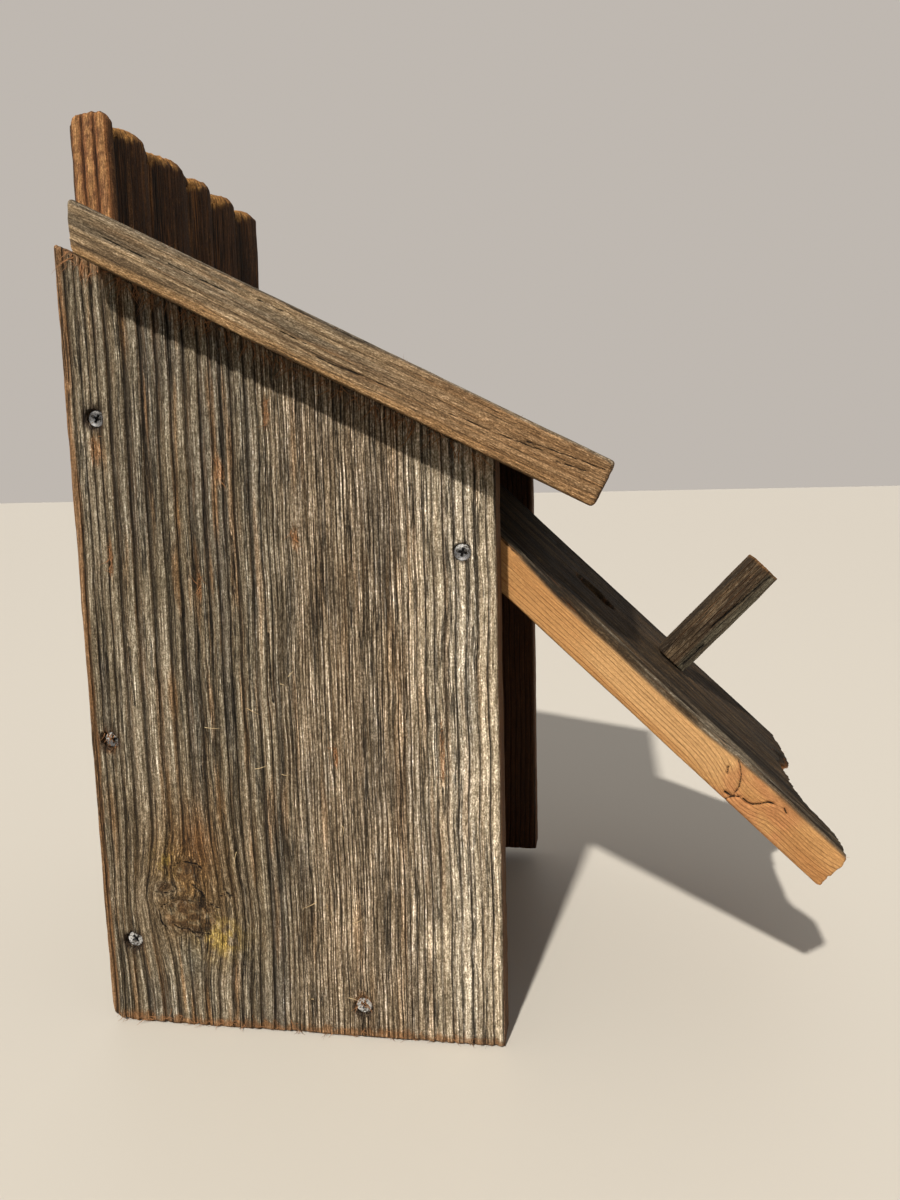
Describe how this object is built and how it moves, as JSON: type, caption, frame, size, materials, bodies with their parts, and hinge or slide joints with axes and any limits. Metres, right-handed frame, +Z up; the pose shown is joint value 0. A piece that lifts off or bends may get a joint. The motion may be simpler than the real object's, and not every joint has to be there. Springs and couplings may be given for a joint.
{
  "type": "birdhouse",
  "caption": "Rough-board nesting box with a sloping roof, a tall back board for hanging, and a front with entrance hole and perch that swings out on side screws for cleaning.",
  "frame": {"origin": "middle of the footprint on the base plane, on the underside of the floor board", "axes": "+Z up along the walls, +Y towards the back board, so the front and the door face -Y, and the left side is at -X"},
  "size_m": [0.3, 0.3809, 0.466],
  "materials": {
    "side_wood": "silver-grey weathered rough-sawn softwood with raised grain",
    "back_wood": "dark brown worn ribbed softwood with light raised grain",
    "roof_wood": "grey-brown weathered softwood with fine dark cracks",
    "floor_wood": "brown-grey unplaned softwood",
    "door_wood": "fresh orange-tan sawn edges with a dark grey-brown weathered outer face",
    "perch_wood": "grey-brown weathered stick with a long split",
    "screw_zinc": "dull bright zinc plating, cross recess"
  },
  "bodies": {
    "box": {"left_side": "side_wood", "right_side": "side_wood", "back_board": "back_wood", "floor_board": "floor_wood", "roof_board": "roof_wood", "floor_screw_left": "screw_zinc", "floor_screw_right": "screw_zinc", "back_screw_left_1": "screw_zinc", "back_screw_left_2": "screw_zinc", "back_screw_left_3": "screw_zinc", "back_screw_right_1": "screw_zinc", "back_screw_right_2": "screw_zinc", "back_screw_right_3": "screw_zinc", "roof_screw_left_1": "screw_zinc", "roof_screw_left_2": "screw_zinc", "roof_screw_right_1": "screw_zinc", "roof_screw_right_2": "screw_zinc"},
    "door": {"front_door": "door_wood", "perch": "perch_wood", "perch_screw": "screw_zinc", "pivot_screw_left": "screw_zinc", "pivot_screw_right": "screw_zinc"}
  },
  "joints": [
    {"name": "door_hinge", "type": "hinge", "parent": "box", "child": "door", "pos_m": [0, -0.0895, 0.2505], "axis": [-1, 0, 0], "range_deg": [-46.5, 45]}
  ]
}
